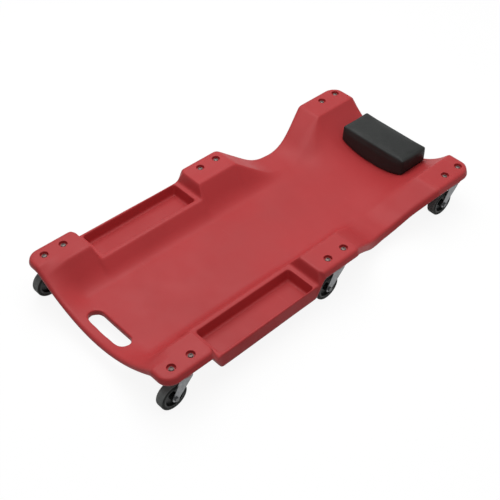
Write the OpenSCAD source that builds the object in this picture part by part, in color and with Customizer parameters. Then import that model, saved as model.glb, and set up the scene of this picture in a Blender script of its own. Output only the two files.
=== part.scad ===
/* [Deck] */
// Overall length of the deck
deck_len = 970; // [930:5:1060]
// Overall width over the foot pads
foot_w = 484; // [460:2:520]
// Width over the middle pads
mid_w = 478; // [460:2:520]
// Width over the head pads
head_w = 464; // [446:2:500]
// Width across the waist between the middle and head pads
waist_w = 398; // [360:2:420]
// Depth of the lying dish below the pad faces
dish_drop = 69; // [60:1:72]
// Width of the dish's flat floor
floor_w = 196; // [160:2:210]
// Thickness of the double wall under the dish
dish_t = 19; // [17:1:22]
// Thickness of the double wall at the foot edge
foot_t = 16; // [13:0.5:18]
// Thickness of the double wall at the pads
pad_t = 21; // [17:1:25]
// Width of a pad's face, from its inner crease to the side edge
face_w = 72; // [66:1:76]
// Radius of the deck's rounded top edge
edge_r = 9; // [5:0.5:11]
// Radius of the trays' rounded rims
rim_r = 3; // [2:0.5:4.5]
// How far the head edge curves back towards its corners
head_bow = 1; // [0:1:12]
// Draft of the side walls in degrees
draft = 7; // [3:1:9]
// Radius of the deck's corners at the foot end
foot_corner_r = 32; // [24:1:38]
// Radius of the deck's corners at the head end
head_corner_r = 36; // [30:1:46]

/* [Pads] */
// Length of the foot pads
foot_pad_len = 132; // [124:1:142]
// Length of the middle pads, up to where they start to slope down
mid_pad_len = 115; // [108:1:122]
// Length of the head pads
head_pad_len = 127; // [118:1:136]
// Run of the slope from the middle pads down to the waist
waist_fall = 125; // [100:1:134]
// Run of the slope from the waist up to the head pads
waist_rise = 147; // [120:1:152]
// Length of the foot edge's bowl
foot_bowl_len = 70; // [50:1:90]

/* [Tool trays] */
// Width of a tray's pocket
tray_w = 74; // [60:1:78]
// Depth of a tray's pocket below its inner ridge
tray_depth = 29; // [18:1:30]
// Thickness of a tray's floor
tray_floor_t = 7; // [5:1:9]
// Height of the pads above the tray's ridge and end strips
ridge_drop = 30; // [28:1:36]
// Width of the strip between a pocket's end and the pad
strip_w = 16; // [12:1:20]
// Width of the rim between a pocket and the deck's side
rim_w = 13; // [12:1:16]
// Width of the ridge's flat crest
ridge_w = 7; // [5:1:10]

/* [Hand slot] */
// Length of the hand slot across the deck
slot_len = 126; // [110:1:140]
// Width of the hand slot
slot_w = 36; // [30:1:40]
// Distance from the foot edge to the slot
slot_inset = 25; // [20:1:32]

/* [Casters] */
// Wheel diameter
wheel_d = 66; // [60:1:68]
// Tyre width
wheel_w = 22; // [18:1:24]
// Mounted height of a caster
caster_h = 88; // [86:1:94]
// Trail of the axle behind the kingpin
trail = 28; // [24:1:30]
// Thickness of the fork's steel
fork_t = 2.2; // [1.8:0.1:2.8]
// Thickness of the caster's plate
plate_t = 2.5; // [2:0.1:3]
// Axle bolt diameter
axle_d = 6; // [5:0.5:6.5]
// Kingpin diameter
kingpin_d = 9; // [8:0.5:10]
// Distance from the foot edge to the foot bolt pairs' centres
foot_inset = 61; // [56:1:66]
// Distance from the head edge to the head bolt pairs' centres
head_inset = 50; // [46:1:56]
// Distance of the middle casters ahead of the deck's centre
mid_x = 22; // [10:1:34]
// Distance from the deck's side to a bolt row
side_inset = 30; // [28:1:34]

/* [Deck bolts] */
// Deck bolt diameter
bolt_d = 6; // [5:0.5:6.5]
// Spacing of a pad's two bolts
bolt_pitch = 50; // [48:1:54]
// Diameter of a bolt's recess in the pad
recess_d = 19; // [17:0.5:21]
// Depth of a bolt's recess in the pad
recess_depth = 6.5; // [5:0.5:8]

/* [Headrest] */
// Length of the headrest across the deck
rest_len = 200; // [170:2:206]
// Width of the headrest along the deck
rest_w = 92; // [76:1:94]
// Height of the headrest's face below the pad faces
rest_drop = 6; // [0:1:12]
// Distance from the head edge to the headrest
rest_inset = 15; // [13:1:22]

/* [Hidden] */
$fn = 48;

// Heights of the deck above the floor
boss_h = 6;
pad_z = caster_h + boss_h + pad_t;
floor_z = pad_z - dish_drop;
under_z = floor_z - dish_t;
ridge_z = pad_z - ridge_drop;
tray_z = ridge_z - tray_depth;
overrun = 1;

// Places along the deck, with the foot end at -X and the head end at +X
foot_end = -deck_len / 2;
head_end = deck_len / 2;
foot_x = foot_end + foot_inset;
head_x = head_end - head_inset;
foot_wall_x = foot_end + foot_pad_len;
mid_face_lead = 42;
fall_x = mid_x + mid_face_lead;
mid_wall_x = fall_x - mid_pad_len;
rise_end_x = head_end - head_pad_len;
waist_lead = 10;
waist_x = rise_end_x - waist_rise + waist_lead;
wall_run = 12;
pad_corner_r = 8;
ramp_run = 30;

// Casters: 0 foot left, 1 foot right, 2 middle left, 3 middle right, 4 head left, 5 head right
caster_xy = [
    for (c = [[foot_x, foot_w], [mid_x, mid_w], [head_x, head_w]], side = [1, -1])
        [c.x, side * (c.y / 2 - side_inset)]
];

// Blends between two values
bend_share = 0.22;
crest_share = 0.08;
cove_share = 0.6;
function mix(a, b, t) = a + (b - a) * t;
function clip(t) = min(1, max(0, t));
function ease(t) = let (c = clip(t)) c * c * (3 - 2 * c);
function ramp(t) = let (c = clip(t), b = bend_share)
    c < b ? c * c / (2 * b * (1 - b))
    : c > 1 - b ? 1 - (1 - c) * (1 - c) / (2 * b * (1 - b))
    : (c - b / 2) / (1 - b);
// A slope that starts softly and ends at a crisp crest
function rise(t, a = 2 * bend_share, b = crest_share) = let (c = clip(t), k = 1 / (1 - a / 2 - b / 2))
    c < a ? k * c * c / (2 * a) : c > 1 - b ? 1 - k * (1 - c) * (1 - c) / (2 * b) : k * (c - a / 2);
function step_up(x, at, run) = ease((x - at) / run + 1 / 2);

// How far a place x lies in the trays, in the tray blocks underneath, in the waist and in a bowl
function in_tray(x) = step_up(x, foot_wall_x, wall_run) * (1 - step_up(x, mid_wall_x, wall_run));
function in_block(x) = ramp((x - foot_wall_x) / ramp_run + 1 / 2)
    * (1 - ramp((x - mid_wall_x) / ramp_run + 1 / 2));
function in_waist(x) = (1 - rise(1 - (x - fall_x) / waist_fall))
    * (1 - rise((x - rise_end_x + waist_rise) / waist_rise));
function foot_bowl(x) = 1 - ease((x - foot_end) / foot_bowl_len);
function head_bowl(x) = ease((x - fall_x) / (rise_end_x - fall_x));

// Half width of the deck's outline at x, without its end corners
function side_y(x) =
    x < fall_x ? mix(foot_w, mid_w, ease((x - foot_wall_x) / (mid_wall_x - foot_wall_x))) / 2
    : x < waist_x ? mix(mid_w, waist_w, sin(90 * (x - fall_x) / (waist_x - fall_x))) / 2
    : mix(waist_w, head_w, rise((x - waist_x) / (rise_end_x - waist_x), cove_share)) / 2;
function corner_cut(from_end, r) = from_end >= r ? 0 : r - sqrt(r * r - (r - from_end) ^ 2);
function edge_y(x) = side_y(x)
    - corner_cut(x - foot_end, foot_corner_r) - corner_cut(head_end - x, head_corner_r);

// How far the top of the side draws in to round a pad's outer corner beside a tray
function corner_pull(x) = (1 - in_tray(x))
    * corner_cut(max(0, foot_wall_x - wall_run / 2 - x, x - mid_wall_x - wall_run / 2), pad_corner_r);

// Where the flank between the dish's floor and the shoulder starts and ends
flank_y0 = floor_w / 2;
foot_face_w = 52;
ridge_y = mid_w / 2 - rim_w - tray_w - ridge_w;
function flank_y1(x) = mix(side_y(x) - face_w, ridge_y, in_tray(x));

// How high the section has climbed from the dish's floor, 0, to its shoulder, 1; the bowl at the head end
// has a flatter middle than a parabola, whose power is 2
bowl_power = 2.6;
function climb(x, y) = let (
        flat = rise((y - flank_y0) / (flank_y1(x) - flank_y0), cove_share),
        foot = clip((y / (foot_w / 2 - foot_face_w)) ^ 2),
        head = clip((y / (side_y(x) - face_w)) ^ bowl_power)
    )
    mix(mix(flat, foot, foot_bowl(x)), head, head_bowl(x));

// Heights of the deck's upper and lower skins; a low lip is left along the waist
waist_lip = 5;
function shoulder_z(x) = pad_z - ridge_drop * in_tray(x) - (dish_drop - waist_lip) * in_waist(x);
function under_shoulder_z(x) = pad_z - pad_t
    - (pad_z - pad_t - tray_z + tray_floor_t) * in_block(x) - (dish_drop + dish_t - pad_t) * in_waist(x);
function top_z(x, y) = mix(floor_z, shoulder_z(x), climb(x, y));
function foot_thin(x) = (dish_t - foot_t) * (1 - ease((x - foot_end) / foot_thin_len));
function low_z(x, y) = let (c = climb(x, y))
    mix(under_z, under_shoulder_z(x), c) + foot_thin(x) * (1 - c * c);

// Shares of the way across the floor, the flank and the shoulder where the section has a point
floor_shares = [0, 0.35, 0.65, 0.85];
flank_shares = [0, 0.12, 0.24, 0.36, 0.48, 0.6, 0.76, 0.92, 1];
shoulder_shares = [0.2, 0.55, 0.85];
low_floor_shares = [0.8, 0.55, 0.28, 0];
low_flank_shares = [1, 0.92, 0.6, 0.4, 0.2, 0];
end_shares = [0, 0.02, 0.07, 0.13, 0.2, 0.3, 0.5, 0.75, 1];
low_edge_r = 3;
bow_run = 60;
foot_thin_len = 210;

// Distances from the middle at which the upper skin has points, out to the top of the flank
function skin_ys(x) = concat(
    [for (s = floor_shares) s * flank_y0], [for (s = flank_shares) mix(flank_y0, flank_y1(x), s)]);

// Half of the section at x, from the middle of the upper skin round the side to the lower skin
function half_section(x) = let (
        from_end = min(x - foot_end, head_end - x),
        drop = corner_cut(from_end, edge_r),
        lift = corner_cut(from_end, low_edge_r),
        r = mix(edge_r, rim_r, in_tray(x)),
        y1 = flank_y1(x),
        ye = edge_y(x),
        zt = top_z(x, ye) - drop,
        zl = low_z(x, ye) + lift,
        lean = (zt - zl) * tan(draft) + corner_pull(x),
        yt = ye - lean - r,
        near_end = ease((x - head_end + bow_run) / bow_run)
    )
    [for (p = concat(
        [for (y = skin_ys(x)) [x, y, top_z(x, y) - drop]],
        [for (s = shoulder_shares) let (y = mix(y1, yt, s)) [x, y, top_z(x, y) - drop]],
        [for (a = [0, 22, 45, 68]) [x, yt + r * sin(a), zt - (r - drop) * (1 - cos(a))]],
        [[x, ye - lean, zt - r + drop], [x, ye, zl + low_edge_r - lift], [x, ye - low_edge_r, zl]],
        [for (s = low_flank_shares) let (y = mix(flank_y0, y1, s)) [x, y, low_z(x, y) + lift]],
        [for (s = low_floor_shares) [x, s * flank_y0, low_z(x, s * flank_y0) + lift]]
    )) p - [head_bow * near_end * (p.y / (head_w / 2)) ^ 4, 0, 0]];
function whole_section(x) = let (half = half_section(x), n = len(half))
    concat(half, [for (i = [n - 2:-1:1]) [half[i].x, -half[i].y, half[i].z]]);

// Places along the deck where it has a section
stations = concat(
    [for (s = end_shares) foot_end + s * foot_corner_r],
    [for (s = [0.25, 0.5, 0.75]) mix(foot_end + foot_corner_r, foot_wall_x - ramp_run / 2, s)],
    [for (s = [0.3, 0.65]) foot_wall_x - ramp_run / 2 - s * pad_corner_r],
    [for (s = [-3:3]) foot_wall_x + s * ramp_run / 6],
    [for (s = [-1, 1]) foot_wall_x + s * wall_run / 4],
    [for (s = [0.1, 0.5, 0.9]) mix(foot_wall_x, mid_wall_x, s)],
    [for (s = [-3:3]) mid_wall_x + s * ramp_run / 6],
    [for (s = [0.3, 0.65]) mid_wall_x + ramp_run / 2 + s * pad_corner_r],
    [for (s = [-1, 1]) mid_wall_x + s * wall_run / 4],
    [for (s = [0.3, 0.65, 0.92, 1]) mix(mid_wall_x + ramp_run / 2, fall_x, s)],
    [for (s = [0.03, 0.08, 0.2, 0.35, 0.5, 0.65, 0.8, 0.95]) fall_x + s * waist_fall],
    [waist_x],
    [for (s = [0, 0.15, 0.3, 0.45, 0.6, 0.75, 0.88, 0.94, 0.98, 1]) mix(rise_end_x - waist_rise, rise_end_x, s)],
    [for (s = [0.5]) mix(rise_end_x, head_end - head_corner_r, s)],
    [for (s = end_shares) head_end - s * head_corner_r]
);
function sorted(v) = len(v) <= 1 ? v : let (m = v[floor(len(v) / 2)])
    concat(sorted([for (a = v) if (a < m) a]), [m], sorted([for (a = v) if (a > m) a]));

module skin_loft(sections) {
    n = len(sections[0]);
    m = len(sections);
    half = n / 2;
    points = [for (s = sections) each s];
    // Each four-sided cell is split along the diagonal that keeps the two sides mirror images
    sides = [for (i = [0:m - 2], j = [0:n - 1]) let (
            a = i * n + j, b = i * n + (j + 1) % n, c = a + n, d = b + n
        ) each j < half ? [[a, b, d], [a, d, c]] : [[a, b, c], [b, d, c]]];
    ends = [[for (j = [n - 1:-1:0]) j], [for (j = [0:n - 1]) (m - 1) * n + j]];
    polyhedron(points, concat(sides, ends), convexity = 10);
}

// Flat shapes with true arcs
module round_rect(size, r) {
    square([size.x - 2 * r, size.y], center = true);
    square([size.x, size.y - 2 * r], center = true);
    for (x = [-1, 1], y = [-1, 1]) translate([x * (size.x / 2 - r), y * (size.y / 2 - r)]) circle(r);
}
module stadium(length, width) {
    square([length - width, width], center = true);
    for (x = [-1, 1]) translate([x * (length - width) / 2, 0]) circle(d = width);
}
// A disc with two lobes, joined by straight flanks that touch both
module lobed_disc(r, lobe_r, pitch) {
    lean = asin((r - lobe_r) / (pitch / 2));
    circle(r);
    for (x = [-1, 1]) translate([x * pitch / 2, 0]) circle(lobe_r);
    tip = [pitch / 2 + lobe_r * sin(lean), lobe_r * cos(lean)];
    root = [r * sin(lean), r * cos(lean)];
    polygon([tip, root, [-root.x, root.y], [-tip.x, tip.y],
        [-tip.x, -tip.y], [-root.x, -root.y], [root.x, -root.y], [tip.x, -tip.y]]);
}

// The pocket of one tool tray: drafted walls over a dished floor
tray_corner_r = 9;
tray_draft = 4;
tray_fillet = 5;
tray_x0 = foot_wall_x + strip_w;
tray_x1 = mid_wall_x - strip_w;
tray_y = (foot_w + mid_w) / 4 - rim_w - tray_w / 2;
module tray_pocket() {
    size = [tray_x1 - tray_x0, tray_w];
    low = size - 2 * [tray_draft, tray_draft];
    floor_size = low - 2 * [tray_fillet, tray_fillet];
    rise = tray_depth + overrun;
    translate([(tray_x0 + tray_x1) / 2, tray_y, tray_z + tray_fillet])
        linear_extrude(height = rise - tray_fillet, scale = [size.x / low.x, size.y / low.y], slices = 1)
            round_rect(low, tray_corner_r, $fn = 24);
    translate([(tray_x0 + tray_x1) / 2, tray_y, tray_z])
        linear_extrude(height = tray_fillet, scale = [low.x / floor_size.x, low.y / floor_size.y], slices = 1)
            round_rect(floor_size, tray_corner_r - tray_fillet, $fn = 24);
}

// Long recesses from below that tie the two skins together
rib_len = 74;
rib_w = 14;
rib_depth = 12;
rib_pitch = 96;
rib_rows = 7;
rib_y = 66;
rib_facets = 16;
module tie_recesses() {
    first = -rib_pitch * (rib_rows - 1) / 2 - mid_x;
    for (i = [0:rib_rows - 1], y = [-rib_y, 0, rib_y])
        translate([first + i * rib_pitch, y, under_z - overrun])
            linear_extrude(height = rib_depth + overrun) stadium(rib_len, rib_w, $fn = rib_facets);
}

bolt_clear = 0.4;
screw_d = 4;
screw_head_d = 9;
screw_head_h = 2.6;
screw_pitch = 100;
screw_xy = [head_end - rest_inset - rest_w / 2, screw_pitch / 2];
screw_seat_z = low_z(screw_xy.x, screw_xy.y) + screw_head_h + overrun;
boss_margin = 3;
plate_r = 23;
lobe_r = 10;

module deck_shell() {
    color([0.72, 0.12, 0.13]) difference() {
        union() {
            skin_loft([for (x = sorted(stations)) whole_section(x)]);
            for (c = caster_xy) translate([c.x, c.y, caster_h])
                linear_extrude(height = boss_h + pad_t / 2)
                    lobed_disc(plate_r + boss_margin, lobe_r + boss_margin, bolt_pitch);
        }
        tray_pocket();
        mirror([0, 1, 0]) tray_pocket();
        translate([foot_end + slot_inset + slot_w / 2, 0, under_z - overrun])
            linear_extrude(height = pad_z) rotate(90) stadium(slot_len, slot_w);
        for (c = caster_xy, s = [-1, 1]) translate([c.x + s * bolt_pitch / 2, c.y, 0]) {
            translate([0, 0, caster_h - overrun]) cylinder(d = bolt_d + bolt_clear, h = pad_z);
            translate([0, 0, pad_z - recess_depth]) cylinder(d = recess_d, h = recess_depth + overrun);
        }
        for (s = [-1, 1]) translate([screw_xy.x, s * screw_xy.y, 0]) {
            cylinder(d = screw_d + bolt_clear, h = pad_z);
            cylinder(d = screw_head_d + 2 * bolt_clear, h = screw_seat_z);
        }
        tie_recesses();
    }
}

// Headrest: a block of foam in black vinyl on a board that follows the dish
seat_gap = 0.3;
board_t = 5;
board_inset = 5;
rest_corner_r = 7;
rest_edge_r = 5;
rest_crown = 3;
rest_draw = 1.5;
rest_x = head_end - rest_inset - rest_w / 2;
rest_z = pad_z - rest_drop;

// Shares of the way out from the middle, or up the side, at which the block has a ring
board_shares = [0.35, 0.75];
side_shares = [0.35, 0.65];
crown_shares = [0.8, 0.4];

// One ring of the block, drawn in by inset, with its corners rounded and its sides pulled in
arc_steps = 4;
side_steps = 6;
function rest_ring(inset) = let (
        hx = rest_w / 2 - inset, hy = rest_len / 2 - inset, r = max(rest_corner_r - inset, rest_corner_r / 4)
    )
    [for (q = [0:3]) let (
            sx = (q == 0 || q == 3) ? 1 : -1, sy = q < 2 ? 1 : -1
        ) each concat(
            [for (a = [0:arc_steps]) let (t = q * 90 + a * 90 / arc_steps)
                [sx * (hx - r) + r * cos(t), sy * (hy - r) + r * sin(t)]],
            [for (k = [1:side_steps - 1]) let (u = k / side_steps, pull = rest_draw * sin(180 * u))
                q == 0 ? [mix(hx - r, r - hx, u), hy - pull]
                : q == 1 ? [pull - hx, mix(hy - r, r - hy, u)]
                : q == 2 ? [mix(r - hx, hx - r, u), pull - hy]
                : [hx - pull, mix(r - hy, hy - r, u)]]
        )];
function crown_z(p) = rest_z
    + rest_crown * (cos(180 * p.x / rest_w) * cos(180 * p.y / rest_len) - 1) / 2;
// The seat runs along the lines between the deck's own points, which are the same all along the headrest
seat_line = [for (y = skin_ys(rest_x)) [y, top_z(rest_x, y)]];
function seat_z(p) = lookup(abs(p.y), seat_line) + seat_gap;
function seat_ring(ring, lift) = [for (p = ring) [rest_x + p.x, p.y, seat_z(p) + lift]];
function crown_ring(ring, lift) = [for (p = ring) [rest_x + p.x, p.y, crown_z(p) + lift]];

module ring_stack(rings) {
    n = len(rings[0]);
    m = len(rings);
    // Each cell is split from the same corner of its outer ring, so the board's top matches the pad's hollow
    sides = [for (i = [0:m - 2], j = [0:n - 1]) let (
            a = i * n + j, b = i * n + (j + 1) % n, c = a + n, d = b + n
        ) each rings[i][0].x < rings[i + 1][0].x ? [[a, c, b], [b, c, d]] : [[a, d, b], [a, c, d]]];
    points = [for (r = rings) each r];
    low = m * n;
    caps = [for (j = [0:n - 1]) each [[low, j, (j + 1) % n],
        [low + 1, (m - 1) * n + (j + 1) % n, (m - 1) * n + j]]];
    middle = function (r) [for (k = [0:2]) [for (p = r) p[k]] * [for (p = r) 1] / n];
    polyhedron(concat(points, [middle(rings[0]), middle(rings[m - 1])]), concat(sides, caps), convexity = 6);
}

module headrest_pad() {
    pocket = board_t + seat_gap;
    inner = rest_ring(board_inset - seat_gap);
    top = rest_ring(rest_edge_r);
    color([0.13, 0.14, 0.14]) ring_stack(concat(
        [for (s = board_shares) seat_ring(s * rest_ring(board_inset), pocket)],
        [seat_ring(inner, pocket), seat_ring(inner, 0)],
        [seat_ring(rest_ring(rest_edge_r / 4), 0), seat_ring(rest_ring(0), rest_edge_r / 4)],
        [for (s = side_shares) [for (p = rest_ring(rest_draw * sin(180 * s)))
            [rest_x + p.x, p.y, mix(seat_z(p), crown_z(p) - rest_edge_r, s)]]],
        [for (a = [0, 30, 60, 90]) crown_ring(rest_ring(rest_edge_r * (1 - cos(a))), -rest_edge_r * (1 - sin(a)))],
        [for (s = crown_shares) crown_ring(s * top, 0)]
    ));
}

module headrest_board() {
    ring = rest_ring(board_inset);
    color([0.62, 0.47, 0.3]) ring_stack(concat(
        [for (s = board_shares) seat_ring(s * ring, 0)],
        [seat_ring(ring, 0), seat_ring(ring, board_t)],
        [for (i = [len(board_shares) - 1:-1:0]) seat_ring(board_shares[i] * ring, board_t)]
    ));
}

module headrest_screws() {
    color([0.75, 0.76, 0.78]) for (s = [-1, 1]) translate([screw_xy.x, s * screw_xy.y, 0]) {
        translate([0, 0, screw_seat_z - screw_head_h]) cylinder(d = screw_head_d, h = screw_head_h);
        translate([0, 0, screw_seat_z]) cylinder(d = screw_d, h = screw_bite_z - screw_seat_z);
    }
}
screw_bite_z = seat_z([0, screw_xy.y]);

// Fasteners through the pads
washer_d = 12;
washer_t = 1.2;
head_d = 10.5;
head_h = 3.3;
socket_d = 4;
nut_d = 11.5;
nut_h = 4.5;
tip = 0.6;
module at_deck_bolts() {
    for (c = caster_xy, s = [-1, 1]) translate([c.x + s * bolt_pitch / 2, c.y, 0]) children();
}
module deck_bolts() {
    seat = pad_z - recess_depth + washer_t;
    low = caster_h - plate_t - nut_h - tip;
    color([0.8, 0.8, 0.8]) at_deck_bolts() difference() {
        union() {
            translate([0, 0, low]) cylinder(d = bolt_d, h = seat - low);
            translate([0, 0, seat]) intersection() {
                cylinder(d = head_d, h = head_h);
                translate([0, 0, head_h - head_d]) sphere(d = 2 * head_d);
            }
        }
        translate([0, 0, seat + head_h / 2]) cylinder(d = socket_d, h = head_h, $fn = 6);
    }
}
module deck_washers() {
    color([0.7, 0.7, 0.72]) at_deck_bolts() translate([0, 0, pad_z - recess_depth]) difference() {
        cylinder(d = washer_d, h = washer_t);
        translate([0, 0, -overrun]) cylinder(d = bolt_d + bolt_clear, h = washer_t + 2 * overrun);
    }
}
module deck_nuts() {
    color([0.72, 0.72, 0.74]) at_deck_bolts() translate([0, 0, caster_h - plate_t - nut_h]) difference() {
        cylinder(d = nut_d, h = nut_h, $fn = 6);
        translate([0, 0, -overrun]) cylinder(d = bolt_d, h = nut_h + 2 * overrun);
    }
}

// Caster: the swivel head between the plate and the fork's crown
head_gap = 6.5;
crown_z_top = caster_h - plate_t - head_gap;
crown_r = 18.5;
race_r = 12;
race_depth = 0.6;
upper_ball_d = head_gap + race_depth - 2 * seat_gap;
upper_ball_count = 10;
lower_race_r = 8.6;
lower_ball_d = 4.4;
lower_ball_count = 9;
cup_t = 1.6;
cup_wall_gap = 0.5;
cup_r = lower_race_r + lower_ball_d / 2 + cup_wall_gap + cup_t;
crown_low_z = crown_z_top - fork_t;
lower_ball_z = crown_low_z - seat_gap - lower_ball_d / 2;
cup_z = lower_ball_z - lower_ball_d / 2 - cup_t;
kingpin_head_r = 7;
kingpin_head_h = 2.4;

module at_caster(i) { translate([caster_xy[i].x, caster_xy[i].y, 0]) children(); }
module at_casters() { for (c = caster_xy) translate([c.x, c.y, 0]) children(); }

module caster_plate(i) {
    color([0.68, 0.7, 0.72]) at_caster(i) difference() {
        translate([0, 0, caster_h - plate_t]) linear_extrude(height = plate_t)
            lobed_disc(plate_r, lobe_r, bolt_pitch);
        for (s = [-1, 1]) translate([s * bolt_pitch / 2, 0, caster_h - plate_t - overrun])
            cylinder(d = bolt_d + bolt_clear, h = plate_t + 2 * overrun);
        translate([0, 0, caster_h - plate_t]) cylinder(d1 = kingpin_d, d2 = 2 * kingpin_head_r, h = plate_t);
    }
}
module kingpins() {
    color([0.6, 0.61, 0.63]) at_casters() {
        translate([0, 0, caster_h - plate_t]) cylinder(d1 = kingpin_d, d2 = 2 * kingpin_head_r, h = plate_t);
        translate([0, 0, cup_z]) cylinder(d = kingpin_d, h = caster_h - plate_t - cup_z);
        translate([0, 0, cup_z - kingpin_head_h]) cylinder(r1 = kingpin_head_r * 0.8,
            r2 = kingpin_head_r, h = kingpin_head_h);
    }
}
module upper_balls() {
    z = crown_z_top - race_depth + seat_gap + upper_ball_d / 2;
    color([0.85, 0.85, 0.86]) at_casters() for (k = [0:upper_ball_count - 1])
        rotate(k * 360 / upper_ball_count) translate([race_r, 0, z]) sphere(d = upper_ball_d);
}
module lower_balls() {
    color([0.85, 0.85, 0.86]) at_casters() for (k = [0:lower_ball_count - 1])
        rotate(k * 360 / lower_ball_count) translate([lower_race_r, 0, lower_ball_z]) sphere(d = lower_ball_d);
}
module retainer_cups() {
    color([0.66, 0.67, 0.7]) at_casters() translate([0, 0, cup_z]) difference() {
        cylinder(r = cup_r, h = cup_t + lower_ball_d / 2);
        translate([0, 0, cup_t]) cylinder(r = cup_r - cup_t, h = lower_ball_d);
        translate([0, 0, -overrun]) cylinder(d = kingpin_d, h = cup_t + 2 * overrun);
    }
}

// Fork: a bent channel cut to a side profile, under a round crown
wheel_gap = 2;
fork_in_w = wheel_w + 2 * wheel_gap;
fork_out_w = fork_in_w + 2 * fork_t;
fork_bend_r = 5;
axle_z = wheel_d / 2;
axle_boss_r = 8.5;
fork_front_x = 17;
fork_back_x = -19;
fork_skirt_h = 9;
kingpin_clear = 0.8;

// The point where a line from p touches a circle at c, on the side that turn gives
function touch(p, c, r, turn) = let (
        v = p - c, d = norm(v), a = atan2(v.y, v.x) + turn * acos(r / d)
    ) c + r * [cos(a), sin(a)];

module fork_side() {
    axle = [-trail, axle_z];
    front = [fork_front_x, crown_z_top - fork_skirt_h];
    back = [fork_back_x, crown_z_top - fork_skirt_h];
    translate(axle) circle(axle_boss_r);
    polygon([front, [front.x, crown_z_top], [back.x, crown_z_top], back,
        touch(back, axle, axle_boss_r, 1), axle, touch(front, axle, axle_boss_r, -1)]);
}
module channel(width, top, r) {
    square_top = top - r;
    translate([-width / 2, 0]) square([width, square_top]);
    translate([-width / 2 + r, 0]) square([width - 2 * r, top]);
    for (x = [-1, 1]) translate([x * (width / 2 - r), square_top]) circle(r);
}
module fork(i) {
    color([0.62, 0.64, 0.66]) at_caster(i) difference() {
        union() {
            intersection() {
                translate([0, fork_out_w / 2, 0]) rotate([90, 0, 0])
                    linear_extrude(height = fork_out_w) fork_side();
                rotate([90, 0, 90]) linear_extrude(height = 2 * deck_reach, center = true) difference() {
                    channel(fork_out_w, crown_z_top, fork_bend_r);
                    channel(fork_in_w, crown_low_z, fork_bend_r - fork_t);
                }
            }
            translate([0, 0, crown_low_z]) cylinder(r = crown_r, h = fork_t);
        }
        translate([0, 0, crown_low_z - overrun])
            cylinder(d = kingpin_d + 2 * kingpin_clear, h = fork_t + 2 * overrun);
        translate([0, 0, crown_z_top - race_depth + upper_ball_d / 2])
            rotate_extrude() translate([race_r, 0]) circle(d = upper_ball_d);
        translate([-trail, 0, axle_z]) rotate([90, 0, 0])
            cylinder(d = axle_d + 2 * axle_fit, h = fork_out_w + 2 * overrun, center = true);
    }
}
deck_reach = trail + axle_boss_r;
axle_fit = 0.05;

axle_head_d = 11.5;
axle_head_h = 4;
axle_nut_h = 5;
sleeve_d = 8.4;
module at_axle(i) { at_caster(i) translate([-trail, 0, axle_z]) rotate([90, 0, 0]) children(); }
module axle_bolt(i) {
    length = fork_out_w + axle_nut_h + tip;
    color([0.74, 0.75, 0.77]) at_axle(i) {
        translate([0, 0, fork_out_w / 2 - length]) cylinder(d = axle_d, h = length);
        translate([0, 0, fork_out_w / 2]) cylinder(d = axle_head_d, h = axle_head_h, $fn = 6);
    }
}
module axle_nut(i) {
    color([0.74, 0.75, 0.77]) at_axle(i) translate([0, 0, -fork_out_w / 2 - axle_nut_h]) difference() {
        cylinder(d = axle_head_d, h = axle_nut_h, $fn = 6);
        translate([0, 0, -overrun]) cylinder(d = axle_d, h = axle_nut_h + 2 * overrun);
    }
}
module axle_sleeve(i) {
    color([0.8, 0.8, 0.82]) at_axle(i) difference() {
        cylinder(d = sleeve_d, h = fork_in_w, center = true);
        cylinder(d = axle_d + 2 * axle_fit, h = fork_in_w + 2 * overrun, center = true);
    }
}

// Wheel: a moulded core that turns on the sleeve, and a tyre round it
tyre_t = 6.5;
tyre_shoulder_r = 4;
rim_t = 4;
rim_side = 1;
web_t = 6;
hub_d = 18;
hub_gap = 0.5;
bore_fit = 0.08;
core_r = wheel_d / 2 - tyre_t;
module wheel_core(i) {
    color([0.2, 0.21, 0.21]) at_axle(i) rotate_extrude() difference() {
        union() {
            translate([core_r - rim_t, -wheel_w / 2 + rim_side]) square([rim_t, wheel_w - 2 * rim_side]);
            translate([0, -web_t / 2]) square([core_r - rim_t / 2, web_t]);
            translate([0, hub_gap - fork_in_w / 2]) square([hub_d / 2, fork_in_w - 2 * hub_gap]);
        }
        translate([0, -fork_in_w]) square([sleeve_d / 2 + bore_fit, 2 * fork_in_w]);
    }
}
module tyre(i) {
    r = tyre_shoulder_r;
    color([0.1, 0.11, 0.11]) at_axle(i) rotate_extrude() difference() {
        union() {
            translate([core_r, -wheel_w / 2]) square([tyre_t - r, wheel_w]);
            translate([core_r, r - wheel_w / 2]) square([tyre_t, wheel_w - 2 * r]);
            for (s = [-1, 1]) translate([wheel_d / 2 - r, s * (wheel_w / 2 - r)]) circle(r);
        }
        translate([0, -wheel_w]) square([core_r, 2 * wheel_w]);
    }
}

deck_shell();
headrest_pad();
headrest_board();
headrest_screws();
deck_bolts();
deck_washers();
deck_nuts();
caster_plate(0);  // foot_left_plate
caster_plate(1);  // foot_right_plate
caster_plate(2);  // mid_left_plate
caster_plate(3);  // mid_right_plate
caster_plate(4);  // head_left_plate
caster_plate(5);  // head_right_plate
kingpins();
upper_balls();
lower_balls();
retainer_cups();
fork(0);  // foot_left_fork
axle_bolt(0);  // foot_left_axle_bolt
axle_nut(0);  // foot_left_axle_nut
axle_sleeve(0);  // foot_left_axle_sleeve
wheel_core(0);  // foot_left_wheel_core
tyre(0);  // foot_left_tyre
fork(1);  // foot_right_fork
axle_bolt(1);  // foot_right_axle_bolt
axle_nut(1);  // foot_right_axle_nut
axle_sleeve(1);  // foot_right_axle_sleeve
wheel_core(1);  // foot_right_wheel_core
tyre(1);  // foot_right_tyre
fork(2);  // mid_left_fork
axle_bolt(2);  // mid_left_axle_bolt
axle_nut(2);  // mid_left_axle_nut
axle_sleeve(2);  // mid_left_axle_sleeve
wheel_core(2);  // mid_left_wheel_core
tyre(2);  // mid_left_tyre
fork(3);  // mid_right_fork
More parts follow.
